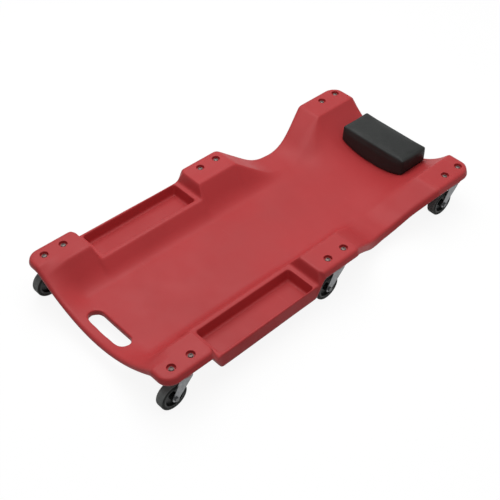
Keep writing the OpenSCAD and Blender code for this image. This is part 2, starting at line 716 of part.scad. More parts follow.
axle_bolt(3);  // mid_right_axle_bolt
axle_nut(3);  // mid_right_axle_nut
axle_sleeve(3);  // mid_right_axle_sleeve
wheel_core(3);  // mid_right_wheel_core
tyre(3);  // mid_right_tyre
fork(4);  // head_left_fork
axle_bolt(4);  // head_left_axle_bolt
axle_nut(4);  // head_left_axle_nut
axle_sleeve(4);  // head_left_axle_sleeve
wheel_core(4);  // head_left_wheel_core
tyre(4);  // head_left_tyre
fork(5);  // head_right_fork
axle_bolt(5);  // head_right_axle_bolt
axle_nut(5);  // head_right_axle_nut
axle_sleeve(5);  // head_right_axle_sleeve
wheel_core(5);  // head_right_wheel_core
tyre(5);  // head_right_tyre
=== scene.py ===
"""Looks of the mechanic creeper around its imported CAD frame.

A smooth moulded deck and a vinyl headrest replace their CAD solids. Every other node keeps its
shape and gets a material.
"""
import math

import bmesh
import bpy
import numpy as np
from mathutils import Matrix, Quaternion, Vector


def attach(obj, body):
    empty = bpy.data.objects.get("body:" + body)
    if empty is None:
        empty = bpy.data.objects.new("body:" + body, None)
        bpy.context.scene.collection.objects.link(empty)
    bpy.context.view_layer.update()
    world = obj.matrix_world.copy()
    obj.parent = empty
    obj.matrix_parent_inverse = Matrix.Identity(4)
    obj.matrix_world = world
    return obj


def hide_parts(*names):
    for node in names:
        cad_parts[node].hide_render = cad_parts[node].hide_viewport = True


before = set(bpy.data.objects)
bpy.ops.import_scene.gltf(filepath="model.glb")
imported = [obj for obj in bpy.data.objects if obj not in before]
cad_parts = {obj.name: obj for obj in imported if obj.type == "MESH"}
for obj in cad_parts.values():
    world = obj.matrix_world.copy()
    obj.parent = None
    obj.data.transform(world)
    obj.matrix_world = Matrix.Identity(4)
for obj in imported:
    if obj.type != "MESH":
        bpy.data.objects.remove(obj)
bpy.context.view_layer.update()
MM = 0.001

# Sizes of the deck and the headrest in mm, degrees or shares, as in the CAD source
DECK_LEN, FOOT_W, MID_W, HEAD_W, WAIST_W = 970, 484, 478, 464, 398
DISH_DROP, FLOOR_W, DISH_T, FOOT_T, PAD_T, FACE_W = 69, 196, 19, 16, 21, 72
EDGE_R, RIM_R, HEAD_BOW, BOW_RUN, DRAFT = 9, 3, 1, 60, 7
FOOT_CORNER_R, HEAD_CORNER_R = 32, 36
FOOT_PAD_LEN, MID_PAD_LEN, HEAD_PAD_LEN = 132, 115, 127
WAIST_FALL, WAIST_RISE, FOOT_BOWL_LEN, FOOT_THIN_LEN, FOOT_FACE_W = 125, 147, 70, 210, 52
TRAY_W, TRAY_DEPTH, TRAY_FLOOR_T, RIDGE_DROP, STRIP_W, RIM_W, RIDGE_W = 74, 29, 7, 30, 16, 13, 7
SLOT_LEN, SLOT_W, SLOT_INSET = 126, 36, 25
CASTER_H, BOSS_H, FOOT_INSET, HEAD_INSET, MID_X, SIDE_INSET = 88, 6, 61, 50, 22, 30
BOLT_PITCH, BOLT_HOLE_D, RECESS_D, RECESS_DEPTH = 50, 6.4, 19, 6.5
REST_LEN, REST_W, REST_DROP, REST_INSET = 200, 92, 6, 15
SCREW_HEAD_HOLE_D, SCREW_HEAD_H, SCREW_Y = 9.8, 2.6, 50
BEND_SHARE, CREST_SHARE, COVE_SHARE, BOWL_POWER = 0.22, 0.08, 0.6, 2.6
WALL_RUN, PAD_CORNER_R, RAMP_RUN, MID_FACE_LEAD, WAIST_LEAD, WAIST_LIP = 12, 8, 30, 42, 10, 5

# The scene's own softer forms: the lower edge's radius in mm, and how widely the top of the head
# end's bowl is rounded over, at its pads and further towards the waist
LOW_ROUND = 7
CREST_BLEND, WAIST_BLEND = 0.02, 0.9

# Places worked out from the sizes
PAD_Z = CASTER_H + BOSS_H + PAD_T
FLOOR_Z = PAD_Z - DISH_DROP
UNDER_Z = FLOOR_Z - DISH_T
RIDGE_Z = PAD_Z - RIDGE_DROP
TRAY_Z = RIDGE_Z - TRAY_DEPTH
RECESS_Z = PAD_Z - RECESS_DEPTH
FOOT_END, HEAD_END = -DECK_LEN / 2, DECK_LEN / 2
FOOT_X, HEAD_X = FOOT_END + FOOT_INSET, HEAD_END - HEAD_INSET
FOOT_WALL_X = FOOT_END + FOOT_PAD_LEN
FALL_X = MID_X + MID_FACE_LEAD
MID_WALL_X = FALL_X - MID_PAD_LEN
RISE_END_X = HEAD_END - HEAD_PAD_LEN
WAIST_X = RISE_END_X - WAIST_RISE + WAIST_LEAD
FLANK_Y0 = FLOOR_W / 2
RIDGE_Y = MID_W / 2 - RIM_W - TRAY_W - RIDGE_W
CASTERS = [(x, side * (w / 2 - SIDE_INSET))
           for x, w in ((FOOT_X, FOOT_W), (MID_X, MID_W), (HEAD_X, HEAD_W)) for side in (1, -1)]
REST_X, REST_Z = HEAD_END - REST_INSET - REST_W / 2, PAD_Z - REST_DROP
REST_MIDDLE = [REST_X, 0]

# How finely the deck is drawn: points round a section, and sections along the deck
MIDDLE_POINTS, FLANK_POINTS, SHOULDER_POINTS, EDGE_POINTS, LOW_POINTS = 15, 25, 13, 8, 8
WALL_SHARES = (0.25, 0.5, 0.75, 1)
STATION_STEP, STATION_GAP = 6.0, 0.4
END_STATIONS, RAMP_STATIONS, CREST_STATIONS = 16, 31, 9
CREST_BEFORE, CREST_AFTER = 20, 4


# Curves of the deck. They are the CAD source's, but for the softer forms above
def mix(a, b, t):
    return a + (b - a) * t


def clip(t):
    return np.clip(t, 0.0, 1.0)


def ease(t):
    """From 0 to 1, level at both ends."""
    c = clip(t)
    return c * c * (3 - 2 * c)


def ramp(t, b=BEND_SHARE):
    """From 0 to 1 in a straight line with a bend at each end."""
    c = clip(t)
    k = 2 * b * (1 - b)
    end = np.where(c > 1 - b, 1 - (1 - c) ** 2 / k, (c - b / 2) / (1 - b))
    return np.where(c < b, c * c / k, end)


def rise(t, a=2 * BEND_SHARE, b=CREST_SHARE):
    """As the ramp, with its own bend at the start and at the end."""
    c, k = clip(t), 1 / (1 - a / 2 - b / 2)
    end = np.where(c > 1 - b, 1 - k * (1 - c) ** 2 / (2 * b), k * (c - a / 2))
    return np.where(c < a, k * c * c / (2 * a), end)


def between_walls(curve, x, run):
    """1 along the trays and 0 beyond them, changing over a run at each of the pads' walls."""
    return curve((x - FOOT_WALL_X) / run + 0.5) * (1 - curve((x - MID_WALL_X) / run + 0.5))


def in_tray(x):
    return between_walls(ease, x, WALL_RUN)


def in_block(x):
    return between_walls(ramp, x, RAMP_RUN)


def in_waist(x):
    fall = 1 - rise(1 - (x - FALL_X) / WAIST_FALL)
    return fall * (1 - rise((x - RISE_END_X + WAIST_RISE) / WAIST_RISE))


def foot_bowl(x):
    return 1 - ease((x - FOOT_END) / FOOT_BOWL_LEN)


def head_bowl(x):
    return ease((x - FALL_X) / (RISE_END_X - FALL_X))


def side_y(x):
    """Half the deck's width."""
    tray_run = mix(FOOT_W, MID_W, ease((x - FOOT_WALL_X) / (MID_WALL_X - FOOT_WALL_X))) / 2
    pinch_share = np.sin(math.pi / 2 * clip((x - FALL_X) / (WAIST_X - FALL_X)))
    pinch = mix(MID_W, WAIST_W, pinch_share) / 2
    widen_share = rise((x - WAIST_X) / (RISE_END_X - WAIST_X), COVE_SHARE)
    widen = mix(WAIST_W, HEAD_W, widen_share) / 2
    return np.where(x < FALL_X, tray_run, np.where(x < WAIST_X, pinch, widen))


def corner_cut(from_end, r):
    """How far an arc of radius r stands back at a distance from its end."""
    return r - np.sqrt(r * r - np.clip(r - from_end, 0, r) ** 2)


def edge_y(x):
    foot, head = corner_cut(x - FOOT_END, FOOT_CORNER_R), corner_cut(HEAD_END - x, HEAD_CORNER_R)
    return side_y(x) - foot - head


def corner_pull(x):
    past_wall = max(0, FOOT_WALL_X - WALL_RUN / 2 - x, x - MID_WALL_X - WALL_RUN / 2)
    return (1 - in_tray(x)) * corner_cut(past_wall, PAD_CORNER_R)


def flank_y1(x):
    """Where the dish's flank meets the pads or the ridges of the trays."""
    return mix(side_y(x) - FACE_W, RIDGE_Y, in_tray(x))


def soft_top(c, blend):
    """c held at 1 from above, its corner there rounded over a span of the blend."""
    near = np.clip((blend - np.abs(c - 1)) / blend, 0, 1)
    return np.minimum(c, 1) - near * near * blend / 4


def climb(x, y):
    """How far the upper skin has risen at y, from 0 at the dish's floor to 1 at its side."""
    flat = rise((y - FLANK_Y0) / (flank_y1(x) - FLANK_Y0), COVE_SHARE)
    foot = clip((y / (FOOT_W / 2 - FOOT_FACE_W)) ** 2)
    blend = CREST_BLEND + WAIST_BLEND * in_waist(x)
    head = soft_top((y / (side_y(x) - FACE_W)) ** BOWL_POWER, blend)
    return mix(mix(flat, foot, foot_bowl(x)), head, head_bowl(x))


def top_z(x, y):
    shoulder = PAD_Z - RIDGE_DROP * in_tray(x) - (DISH_DROP - WAIST_LIP) * in_waist(x)
    return mix(FLOOR_Z, shoulder, climb(x, y))


def low_z(x, y):
    block = PAD_Z - PAD_T - TRAY_Z + TRAY_FLOOR_T
    waist = (DISH_DROP + DISH_T - PAD_T) * in_waist(x)
    shoulder = PAD_Z - PAD_T - block * in_block(x) - waist
    c = climb(x, y)
    thin = (DISH_T - FOOT_T) * (1 - ease((x - FOOT_END) / FOOT_THIN_LEN))
    return mix(UNDER_Z, shoulder, c) + thin * (1 - c * c)


def half_section(x):
    """Points from the middle of the upper skin round the side to the middle of the lower skin."""
    from_end = min(x - FOOT_END, HEAD_END - x)
    drop, lift = corner_cut(from_end, EDGE_R), corner_cut(from_end, LOW_ROUND)
    r = mix(EDGE_R, RIM_R, in_tray(x))
    y1, ye = flank_y1(x), edge_y(x)
    zt, zl = top_z(x, ye) - drop, low_z(x, ye) + lift
    lean = (zt - zl) * math.tan(math.radians(DRAFT)) + corner_pull(x)
    yt = ye - lean - r
    flank = mix(FLANK_Y0, y1, np.linspace(0, 1, FLANK_POINTS))
    top_y = np.concatenate([np.linspace(0, FLANK_Y0, MIDDLE_POINTS)[:-1], flank,
                            mix(y1, yt, np.linspace(0, 1, SHOULDER_POINTS)[1:-1])])
    top = np.column_stack([top_y, top_z(x, top_y) - drop])
    a = np.linspace(0, math.pi / 2, EDGE_POINTS)
    arc = np.column_stack([yt + r * np.sin(a), zt - (r - drop) * (1 - np.cos(a))])
    wall = np.array([[ye - lean * (1 - s), mix(zt - r + drop, zl + LOW_ROUND - lift, s)]
                     for s in WALL_SHARES])
    b = a[1:-1]
    under = np.column_stack([ye - LOW_ROUND * (1 - np.cos(b)),
                             zl + (LOW_ROUND - lift) * (1 - np.sin(b))])
    low_y = np.concatenate([[ye - LOW_ROUND],
                            mix(y1, ye - LOW_ROUND, np.linspace(1, 0, LOW_POINTS)[1:-1]),
                            flank[::-1], np.linspace(FLANK_Y0, 0, MIDDLE_POINTS)[1:]])
    low = np.column_stack([low_y, low_z(x, low_y) + lift])
    yz = np.concatenate([top, arc, wall, under, low])
    bow = HEAD_BOW * ease((x - HEAD_END + BOW_RUN) / BOW_RUN) * (yz[:, 0] / (HEAD_W / 2)) ** 4
    return np.column_stack([x - bow, yz])


def stations():
    """The places of the sections, closer together at the ends, the walls and the head's crest."""
    ends = (1 - np.cos(np.linspace(0, math.pi / 2, END_STATIONS))) * FOOT_CORNER_R
    spans = [FOOT_END + ends, HEAD_END - ends,
             np.arange(FOOT_END + FOOT_CORNER_R, HEAD_END - FOOT_CORNER_R, STATION_STEP),
             FOOT_WALL_X + np.linspace(-RAMP_RUN, RAMP_RUN / 2, RAMP_STATIONS),
             MID_WALL_X + np.linspace(-RAMP_RUN / 2, RAMP_RUN, RAMP_STATIONS),
             np.linspace(RISE_END_X - CREST_BEFORE, RISE_END_X + CREST_AFTER, CREST_STATIONS)]
    x = np.unique(np.round(np.concatenate(spans), 3))
    return x[np.concatenate([[True], np.diff(x) > STATION_GAP])]


# Outlines and rings
def circle(r, n=48):
    a = np.linspace(0, 2 * math.pi, n, endpoint=False)
    return np.column_stack([r * np.cos(a), r * np.sin(a)])


def stadium(length, width, along_y=False, n=24):
    r, half = width / 2, (length - width) / 2
    a = np.linspace(-math.pi / 2, math.pi / 2, n)
    right = np.column_stack([half + r * np.cos(a), r * np.sin(a)])
    out = np.concatenate([right, -right])
    return out[:, ::-1] if along_y else out


def round_rect(sx, sy, r, n=8):
    out = []
    for q, (cx, cy) in enumerate(((1, 1), (-1, 1), (-1, -1), (1, -1))):
        a = np.linspace(q, q + 1, n) * math.pi / 2
        out.append(np.column_stack([cx * (sx / 2 - r) + r * np.cos(a),
                                    cy * (sy / 2 - r) + r * np.sin(a)]))
    return np.concatenate(out)


def lobed_disc(r, lobe_r, pitch, n=16):
    """A disc with two lobes joined by straight flanks, as one outline."""
    lean = math.asin((r - lobe_r) / (pitch / 2))
    tip = np.linspace(-(math.pi / 2 - lean), math.pi / 2 - lean, n)
    lobe = np.column_stack([pitch / 2 + lobe_r * np.cos(tip), lobe_r * np.sin(tip)])
    back = np.linspace(math.pi / 2 - lean, math.pi / 2 + lean, n // 2)
    disc = np.column_stack([r * np.cos(back), r * np.sin(back)])
    return np.concatenate([lobe, disc, -lobe, -disc])


def ring_at(outline, z, at=(0, 0)):
    """A flat outline moved to a place and lifted to a height."""
    ring = np.asarray(outline) + np.asarray(at)
    return np.column_stack([ring, np.full(len(ring), z)])


def prism(outline, z0, z1, at=(0, 0)):
    """The rings of an upright prism on a flat outline."""
    return [ring_at(outline, z, at) for z in (z0, z1)]


# Mesh helpers
def set_all(thing, settings):
    for key, value in settings.items():
        setattr(thing, key, value)
    return thing


def linked(name, data):
    obj = bpy.data.objects.new(name, data)
    bpy.context.scene.collection.objects.link(obj)
    return obj


def new_object(name, verts, faces):
    mesh = bpy.data.meshes.new(name)
    mesh.from_pydata([tuple(v) for v in verts], [], [tuple(f) for f in faces])
    mesh.validate()
    return linked(name, mesh)


def fix_normals(mesh):
    bm = bmesh.new()
    bm.from_mesh(mesh)
    bmesh.ops.recalc_face_normals(bm, faces=bm.faces)
    bm.to_mesh(mesh)
    bm.free()


def loft(name, rings):
    """A closed tube of rings in mm, each with as many points, capped at both ends."""
    n, m = len(rings[0]), len(rings)
    faces = [(i * n + j, i * n + (j + 1) % n, (i + 1) * n + (j + 1) % n, (i + 1) * n + j)
             for i in range(m - 1) for j in range(n)]
    faces += [tuple(range(n))[::-1], tuple(range((m - 1) * n, m * n))]
    obj = new_object(name, np.concatenate(rings) * MM, faces)
    fix_normals(obj.data)
    return obj


def joined(objs, name):
    bm = bmesh.new()
    for o in objs:
        bm.from_mesh(o.data)
    mesh = bpy.data.meshes.new(name)
    bm.to_mesh(mesh)
    bm.free()
    for o in objs:
        bpy.data.objects.remove(o)
    return linked(name, mesh)


def bake_modifiers(obj):
    graph = bpy.context.evaluated_depsgraph_get()
    mesh = bpy.data.meshes.new_from_object(obj.evaluated_get(graph))
    obj.modifiers.clear()
    obj.data = mesh


def modify(obj, kind, **settings):
    set_all(obj.modifiers.new(kind.lower(), kind), settings)
    bake_modifiers(obj)


def boolean(obj, others, operation):
    other = joined(others, "other")
    modify(obj, "BOOLEAN", operation=operation, object=other, solver="MANIFOLD")
    bpy.data.objects.remove(other)


def smooth_shade(obj):
    obj.data.polygons.foreach_set("use_smooth", [True] * len(obj.data.polygons))
    obj.data.update()


# The deck. The trays' openings are the scene's own: rounder than the CAD's, and reaching further
# out over a thinner rim
TRAY_CORNER_R, TRAY_DRAFT, TRAY_FILLET, TRAY_REACH = 6, 3, 3, 4
RIB_LEN, RIB_W, RIB_DEPTH, RIB_PITCH, RIB_ROWS, RIB_Y = 74, 14, 12, 96, 7, 66
PLATE_R, LOBE_R, BOSS_MARGIN = 23, 10, 3
RECESS_LIP, OVERRUN, ARC_POINTS = 1.2, 1, 5
VOXEL, SOFTEN_BY, SOFTEN_STEPS, KEPT_FACES = 0.0021, 0.5, 6, 0.35
SHARP_FROM, NORMAL_WEIGHT = 50, 50
MIRROR = np.array([1, -1, 1])


def tray_cutter(side):
    x0, x1 = FOOT_WALL_X + STRIP_W, MID_WALL_X - STRIP_W
    sx, sy = x1 - x0, TRAY_W + TRAY_REACH
    low_x, low_y = sx - 2 * TRAY_DRAFT, sy - 2 * TRAY_DRAFT
    at = ((x0 + x1) / 2, side * ((FOOT_W + MID_W) / 4 - RIM_W - (TRAY_W - TRAY_REACH) / 2))
    rings = []
    for a in np.linspace(0, math.pi / 2, ARC_POINTS):
        back = TRAY_FILLET * (1 - math.sin(a))
        outline = round_rect(low_x - 2 * back, low_y - 2 * back, TRAY_CORNER_R - back)
        rings.append(ring_at(outline, TRAY_Z + TRAY_FILLET * (1 - math.cos(a)), at))
    rings.append(ring_at(round_rect(sx, sy, TRAY_CORNER_R), RIDGE_Z + OVERRUN, at))
    return loft("tray_cut", rings)


def bolt_cutter(x, y):
    """A bolt's hole and its recess, whose lip is rounded over."""
    hole, recess = BOLT_HOLE_D / 2, RECESS_D / 2
    lip = [(recess + RECESS_LIP * (1 - math.cos(a)), PAD_Z - RECESS_LIP * (1 - math.sin(a)))
           for a in np.linspace(0, math.pi / 2, ARC_POINTS)]
    profile = [(hole, 0), (hole, RECESS_Z), (recess, RECESS_Z), *lip,
               (recess + RECESS_LIP, PAD_Z + OVERRUN)]
    return loft("bolt_cut", [ring_at(circle(r), z, (x, y)) for r, z in profile])


def slot_cutter():
    at = (FOOT_END + SLOT_INSET + SLOT_W / 2, 0)
    return loft("slot_cut", prism(stadium(SLOT_LEN, SLOT_W, along_y=True), 0, PAD_Z, at))


def screw_cutter(side):
    seat = float(low_z(np.array(REST_X), np.array(SCREW_Y))) + SCREW_HEAD_H + OVERRUN
    return loft("screw", prism(circle(SCREW_HEAD_HOLE_D / 2), 0, seat, (REST_X, side * SCREW_Y)))


def rib_cutters():
    """The long recesses in the underside that tie its two skins together."""
    first = -RIB_PITCH * (RIB_ROWS - 1) / 2 - MID_X
    outline = stadium(RIB_LEN, RIB_W)
    return [loft("rib", prism(outline, UNDER_Z - OVERRUN, UNDER_Z + RIB_DEPTH,
                              (first + i * RIB_PITCH, y)))
            for i in range(RIB_ROWS) for y in (-RIB_Y, 0, RIB_Y)]


def build_deck():
    halves = [half_section(float(x)) for x in stations()]
    deck = loft("deck", [np.concatenate([half, half[-2:0:-1] * MIRROR]) for half in halves])
    foot = lobed_disc(PLATE_R + BOSS_MARGIN, LOBE_R + BOSS_MARGIN, BOLT_PITCH)
    top = CASTER_H + BOSS_H + PAD_T / 2
    boolean(deck, [loft("boss", prism(foot, CASTER_H, top, at)) for at in CASTERS], "UNION")
    cuts = [tray_cutter(s) for s in (1, -1)] + [slot_cutter()]
    cuts += [screw_cutter(s) for s in (-1, 1)] + rib_cutters()
    boolean(deck, cuts, "DIFFERENCE")
    modify(deck, "REMESH", mode="VOXEL", voxel_size=VOXEL, adaptivity=0)
    modify(deck, "SMOOTH", factor=SOFTEN_BY, iterations=SOFTEN_STEPS)
    modify(deck, "DECIMATE", ratio=KEPT_FACES)
    for x, y in CASTERS:
        bolts = [bolt_cutter(x + s * BOLT_PITCH / 2, y) for s in (-1, 1)]
        boolean(deck, bolts, "DIFFERENCE")
    smooth_shade(deck)
    deck.data.set_sharp_from_angle(angle=math.radians(SHARP_FROM))
    modify(deck, "WEIGHTED_NORMAL", mode="FACE_AREA", weight=NORMAL_WEIGHT, keep_sharp=True)
    return deck


# The headrest, in mm. It swells by up to the cap, so it starts smaller by the inset
REST_CORNER_R, REST_CORNER_MIN, REST_EDGE_R, REST_CROWN, SEAT_GAP = 5, 1.5, 3, 1.5, 0.3
PAD_INSET = 1.0
CORNER_POINTS, SIDE_POINTS, FACE_RINGS, SIDE_RINGS = 5, 12, 10, 10
FIRST_FACE_SHARE, FIRST_SIDE_SHARE = 0.1, 0.06
PAD_EDGE_ANGLES = (25, 50, 72, 90)
# Its swelling, with lengths in m
PAD_VOXEL, PAD_CAP, PAD_HELD = 0.003, 0.0015, 0.006
PAD_FRAMES, PAD_PRESSURE, PAD_QUALITY, PAD_EVEN = 20, 4.0, 6, 6
NO_MOVE = 1e-9


def rest_ring(inset, z_of):
    """A ring round the pad at an inset from its sides, at heights by a function of the place."""
    corner_r = max(REST_CORNER_R - inset, REST_CORNER_MIN)
    outline = round_rect(REST_W - 2 * inset, REST_LEN - 2 * inset, corner_r, CORNER_POINTS)
    ring = []
    for a, b in zip(outline, np.roll(outline, -1, axis=0)):
        steps = SIDE_POINTS if np.hypot(*(b - a)) > REST_CORNER_R else 1
        ring += [mix(a, b, t) for t in np.linspace(0, 1, steps, endpoint=False)]
    ring = np.array(ring)
    return in_place(ring, z_of(ring))


def in_place(p, z):
    """Flat points about the pad's middle, brought to its place and to their heights."""
    return np.column_stack([p + REST_MIDDLE, z])


def shrunk(ring, share):
    """The flat points of a ring about the pad's middle, drawn in towards it."""
    return (ring[:, :2] - REST_MIDDLE) * share


def crown_z(p):
    middle = np.cos(math.pi * p[:, 0] / REST_W) * np.cos(math.pi * p[:, 1] / REST_LEN)
    return REST_Z + REST_CROWN * (middle - 1) / 2


def seat_z(p):
    return top_z(p[:, 0] + REST_X, np.abs(p[:, 1])) + SEAT_GAP


def pad_rings():
    """Rings from the middle of the seat, up the sides and over the edge to the crown's middle."""
    shares = np.linspace(FIRST_FACE_SHARE, 1, FACE_RINGS)
    seam = rest_ring(PAD_INSET + REST_EDGE_R / 2, seat_z)
    rings = [in_place(p, seat_z(p)) for p in [shrunk(seam, s) for s in shares]]
    for s in np.linspace(FIRST_SIDE_SHARE, 1, SIDE_RINGS):
        ring = rest_ring(PAD_INSET, seat_z)
        top = crown_z(shrunk(ring, 1)) - PAD_INSET - REST_EDGE_R
        ring[:, 2] = mix(ring[:, 2], top, s)
        rings.append(ring)
    for a in np.radians(PAD_EDGE_ANGLES):
        ring = rest_ring(PAD_INSET + REST_EDGE_R * (1 - math.cos(a)), crown_z)
        ring[:, 2] -= PAD_INSET + REST_EDGE_R * (1 - math.sin(a))
        rings.append(ring)
    inner = [shrunk(rings[-1], s) for s in shares[-2::-1]]
    return rings + [in_place(p, crown_z(p) - PAD_INSET) for p in inner]


def positions(mesh):
    flat = np.empty(3 * len(mesh.vertices))
    mesh.vertices.foreach_get("co", flat)
    return flat.reshape(-1, 3)


def swell(pad, held):
    """Blows the cover up by cloth simulation, with some of its points held."""
    group = pad.vertex_groups.new(name="seat")
    group.add([int(i) for i in held], 1.0, "REPLACE")
    cloth = pad.modifiers.new("cloth", "CLOTH")
    set_all(cloth.settings, {"use_pressure": True, "uniform_pressure_force": PAD_PRESSURE,
                             "quality": PAD_QUALITY, "vertex_group_mass": group.name})
    cloth.settings.effector_weights.gravity = 0
    cloth.point_cache.frame_start, cloth.point_cache.frame_end = 1, PAD_FRAMES
    for step in range(1, PAD_FRAMES + 1):
        bpy.context.scene.frame_set(step)
    bake_modifiers(pad)
    bpy.context.scene.frame_set(1)
    pad.vertex_groups.clear()


def evened(move, mesh):
    """Each point's move, averaged over its neighbours a few times."""
    edges = np.array([e.vertices[:] for e in mesh.edges])
    links = np.bincount(edges.ravel(), minlength=len(move))[:, None]
    for _ in range(PAD_EVEN):
        around = np.zeros_like(move)
        np.add.at(around, edges[:, 0], move[edges[:, 1]])
        np.add.at(around, edges[:, 1], move[edges[:, 0]])
        move = (move + around / links) / 2
    return move


def inflate(pad):
    """Swells the foam under its cover, held along the seat, with every move capped and evened."""
    start = positions(pad.data)
    seat = seat_z(start[:, :2] / MM - REST_MIDDLE) * MM
    swell(pad, np.nonzero(start[:, 2] < seat + PAD_HELD)[0])
    move = positions(pad.data) - start
    length = np.linalg.norm(move, axis=1, keepdims=True)
    move *= np.minimum(1, PAD_CAP / np.maximum(length, NO_MOVE))
    moved = start + evened(move, pad.data)
    moved[:, 2] = np.maximum(moved[:, 2], seat)
    pad.data.vertices.foreach_set("co", moved.ravel())
    pad.data.update()


def build_headrest():
    pad = loft("headrest", pad_rings())
    modify(pad, "REMESH", mode="VOXEL", voxel_size=PAD_VOXEL)
    inflate(pad)
    modify(pad, "SUBSURF", levels=1, render_levels=1)
    smooth_shade(pad)
    return pad


# Materials. Each colour is given by its darker and its paler end
RED = (0.405, 0.0300, 0.0320), (0.462, 0.0350, 0.0385)
VINYL = (0.010, 0.0115, 0.011), (0.017, 0.019, 0.018)
TREAD = (0.155, 0.162, 0.160), (0.285, 0.293, 0.286)
# The tyre's sidewalls are far darker than its tread: partly clean black rubber beside a dusty,
# worn tread, partly painted shade on the sidewalls
TYRE_WALL_CLEAN_AND_SHADED = (0.014, 0.015, 0.014), (0.032, 0.033, 0.032)
NYLON = (0.012, 0.013, 0.013), (0.024, 0.025, 0.025)
BOARD = (0.33, 0.20, 0.105), (0.50, 0.345, 0.20)
CASTER_ZINC = (0.175, 0.182, 0.188), (0.245, 0.252, 0.26)
# The bolts' zinc is darkened as painted shade of the recesses they sit in, and tinted red as a
# painted reflection of the red recess walls
BOLT_ZINC_SHADED_RED = (0.100, 0.074, 0.068), (0.158, 0.120, 0.112)
AXLE_ZINC = (0.098, 0.100, 0.103), (0.150, 0.153, 0.157)
BALL_STEEL = (0.70, 0.70, 0.71), (0.80, 0.80, 0.80)
SCUFF, SCUFF_SHARE = (0.56, 0.13, 0.12), 0.16
STAIN, STAIN_SHARE = (0.16, 0.16, 0.16), 0.5
# The middle of a noise's range, and of the cells', which is spread from 0 to 1
SPAN, UPPER_SPAN, CELL_SPAN = (0.3, 0.7), (0.35, 0.7), (0.1, 0.7)


def add_node(tree, kind, **settings):
    return set_all(tree.nodes.new(kind), settings)


class Shader:
    """A material with short calls for nodes and links."""

    def __init__(self, name):
        self.mat = bpy.data.materials.new(name)
        self.mat.use_nodes = True
        self.tree = self.mat.node_tree
        self.bsdf = self.tree.nodes["Principled BSDF"]
        where = add_node(self.tree, "ShaderNodeTexCoord")
        self.coords, self.normals = where.outputs["Object"], where.outputs["Normal"]

    def put(self, socket, value):
        if isinstance(value, bpy.types.NodeSocket):
            self.tree.links.new(value, socket)
        else:
            socket.default_value = value

    def node(self, kind, inputs, **settings):
        """A new node with its inputs, by name or number, set or linked."""
        node = add_node(self.tree, kind, **settings)
        for key, value in inputs.items():
            self.put(node.inputs[key], value)
        return node

    def noise(self, scale, detail=4.0, rough=0.55, stretch=None):
        where = self.coords
        if stretch:
            mapping = self.node("ShaderNodeMapping", {"Vector": where, "Scale": stretch})
            where = mapping.outputs["Vector"]
        inputs = {"Vector": where, "Scale": scale, "Detail": detail, "Roughness": rough}
        return self.node("ShaderNodeTexNoise", inputs).outputs["Fac"]

    def cells(self, scale):
        inputs = {"Vector": self.coords, "Scale": scale}
        return self.node("ShaderNodeTexVoronoi", inputs).outputs["Distance"]

    def math(self, operation, *values):
        inputs = dict(enumerate(values))
        return self.node("ShaderNodeMath", inputs, operation=operation).outputs[0]

    def facing(self, axis):
        """How far the surface faces along one axis of its own piece, from 0 to 1."""
        split = self.node("ShaderNodeSeparateXYZ", {0: self.normals})
        return self.math("ABSOLUTE", split.outputs[axis])

    def levels(self, fac, low, high, to_low=0.0, to_high=1.0):
        inputs = {"Value": fac, "From Min": low, "From Max": high,
                  "To Min": to_low, "To Max": to_high}
        return self.node("ShaderNodeMapRange", inputs).outputs["Result"]

    def roughness(self, low, high, scale, detail=4.0):
        """A roughness that wanders between two values."""
        return self.levels(self.noise(scale, detail), *SPAN, low, high)

    def blend(self, fac, a, b):
        node = self.node("ShaderNodeMix", {"Factor": fac}, data_type="RGBA")
        colours = [s for s in node.inputs if s.type == "RGBA"]
        for socket, value in zip(colours, (a, b)):
            self.put(socket, value if isinstance(value, bpy.types.NodeSocket) else (*value, 1.0))
        return next(s for s in node.outputs if s.type == "RGBA")

    def bump(self, height, strength, distance, after=None):
        inputs = {"Strength": strength, "Distance": distance, "Height": height}
        if after is not None:
            inputs["Normal"] = after
        return self.node("ShaderNodeBump", inputs).outputs["Normal"]

    def finish(self, colour, rough, normal, **fixed):
        self.put(self.bsdf.inputs["Base Color"], colour)
        self.put(self.bsdf.inputs["Roughness"], rough)
        self.put(self.bsdf.inputs["Normal"], normal)
        for key, value in fixed.items():
            self.bsdf.inputs[key.replace("_", " ")].default_value = value
        return self.mat


def red_plastic():
    s = Shader("red_plastic")
    colour = s.blend(s.levels(s.noise(5.0, detail=3), *SPAN), *RED)
    scuff = s.noise(60.0, detail=6, rough=0.7, stretch=(1.0, 0.12, 1.0))
    scuff = s.levels(scuff, low=0.63, high=0.75)
    colour = s.blend(s.math("MULTIPLY", scuff, SCUFF_SHARE), colour, SCUFF)
    rough = s.roughness(0.46, 0.56, scale=18.0, detail=5)
    pebble = s.bump(s.noise(520.0, detail=3, rough=0.6), strength=0.10, distance=0.0006)
    flow = s.bump(s.noise(22.0, detail=2), strength=0.10, distance=0.0012, after=pebble)
    return s.finish(colour, rough, flow, IOR=1.5, Specular_IOR_Level=0.31)


def black_vinyl():
    s = Shader("black_vinyl")
    colour = s.blend(s.levels(s.noise(9.0), *UPPER_SPAN), *VINYL)
    rough = s.roughness(0.42, 0.56, scale=35.0)
    leather = s.bump(s.cells(420.0), strength=0.35, distance=0.0006)
    crease = s.noise(14.0, detail=5, rough=0.6, stretch=(1.0, 0.35, 1.0))
    crease = s.bump(crease, strength=0.18, distance=0.003, after=leather)
    return s.finish(colour, rough, crease, IOR=1.5, Specular_IOR_Level=0.24)


def zinc(name, metal, rough_low, rough_high, spangle):
    s = Shader(name)
    stain = s.levels(s.noise(70.0, detail=6, rough=0.65), low=0.45, high=0.75)
    colour = s.blend(s.levels(s.cells(spangle), *CELL_SPAN), *metal)
    colour = s.blend(s.math("MULTIPLY", stain, STAIN_SHARE), colour, STAIN)
    rough = s.roughness(rough_low, rough_high, scale=160.0, detail=5)
    fine = s.bump(s.noise(900.0, detail=3), strength=0.08, distance=0.0003)
    return s.finish(colour, rough, fine, Metallic=1.0)


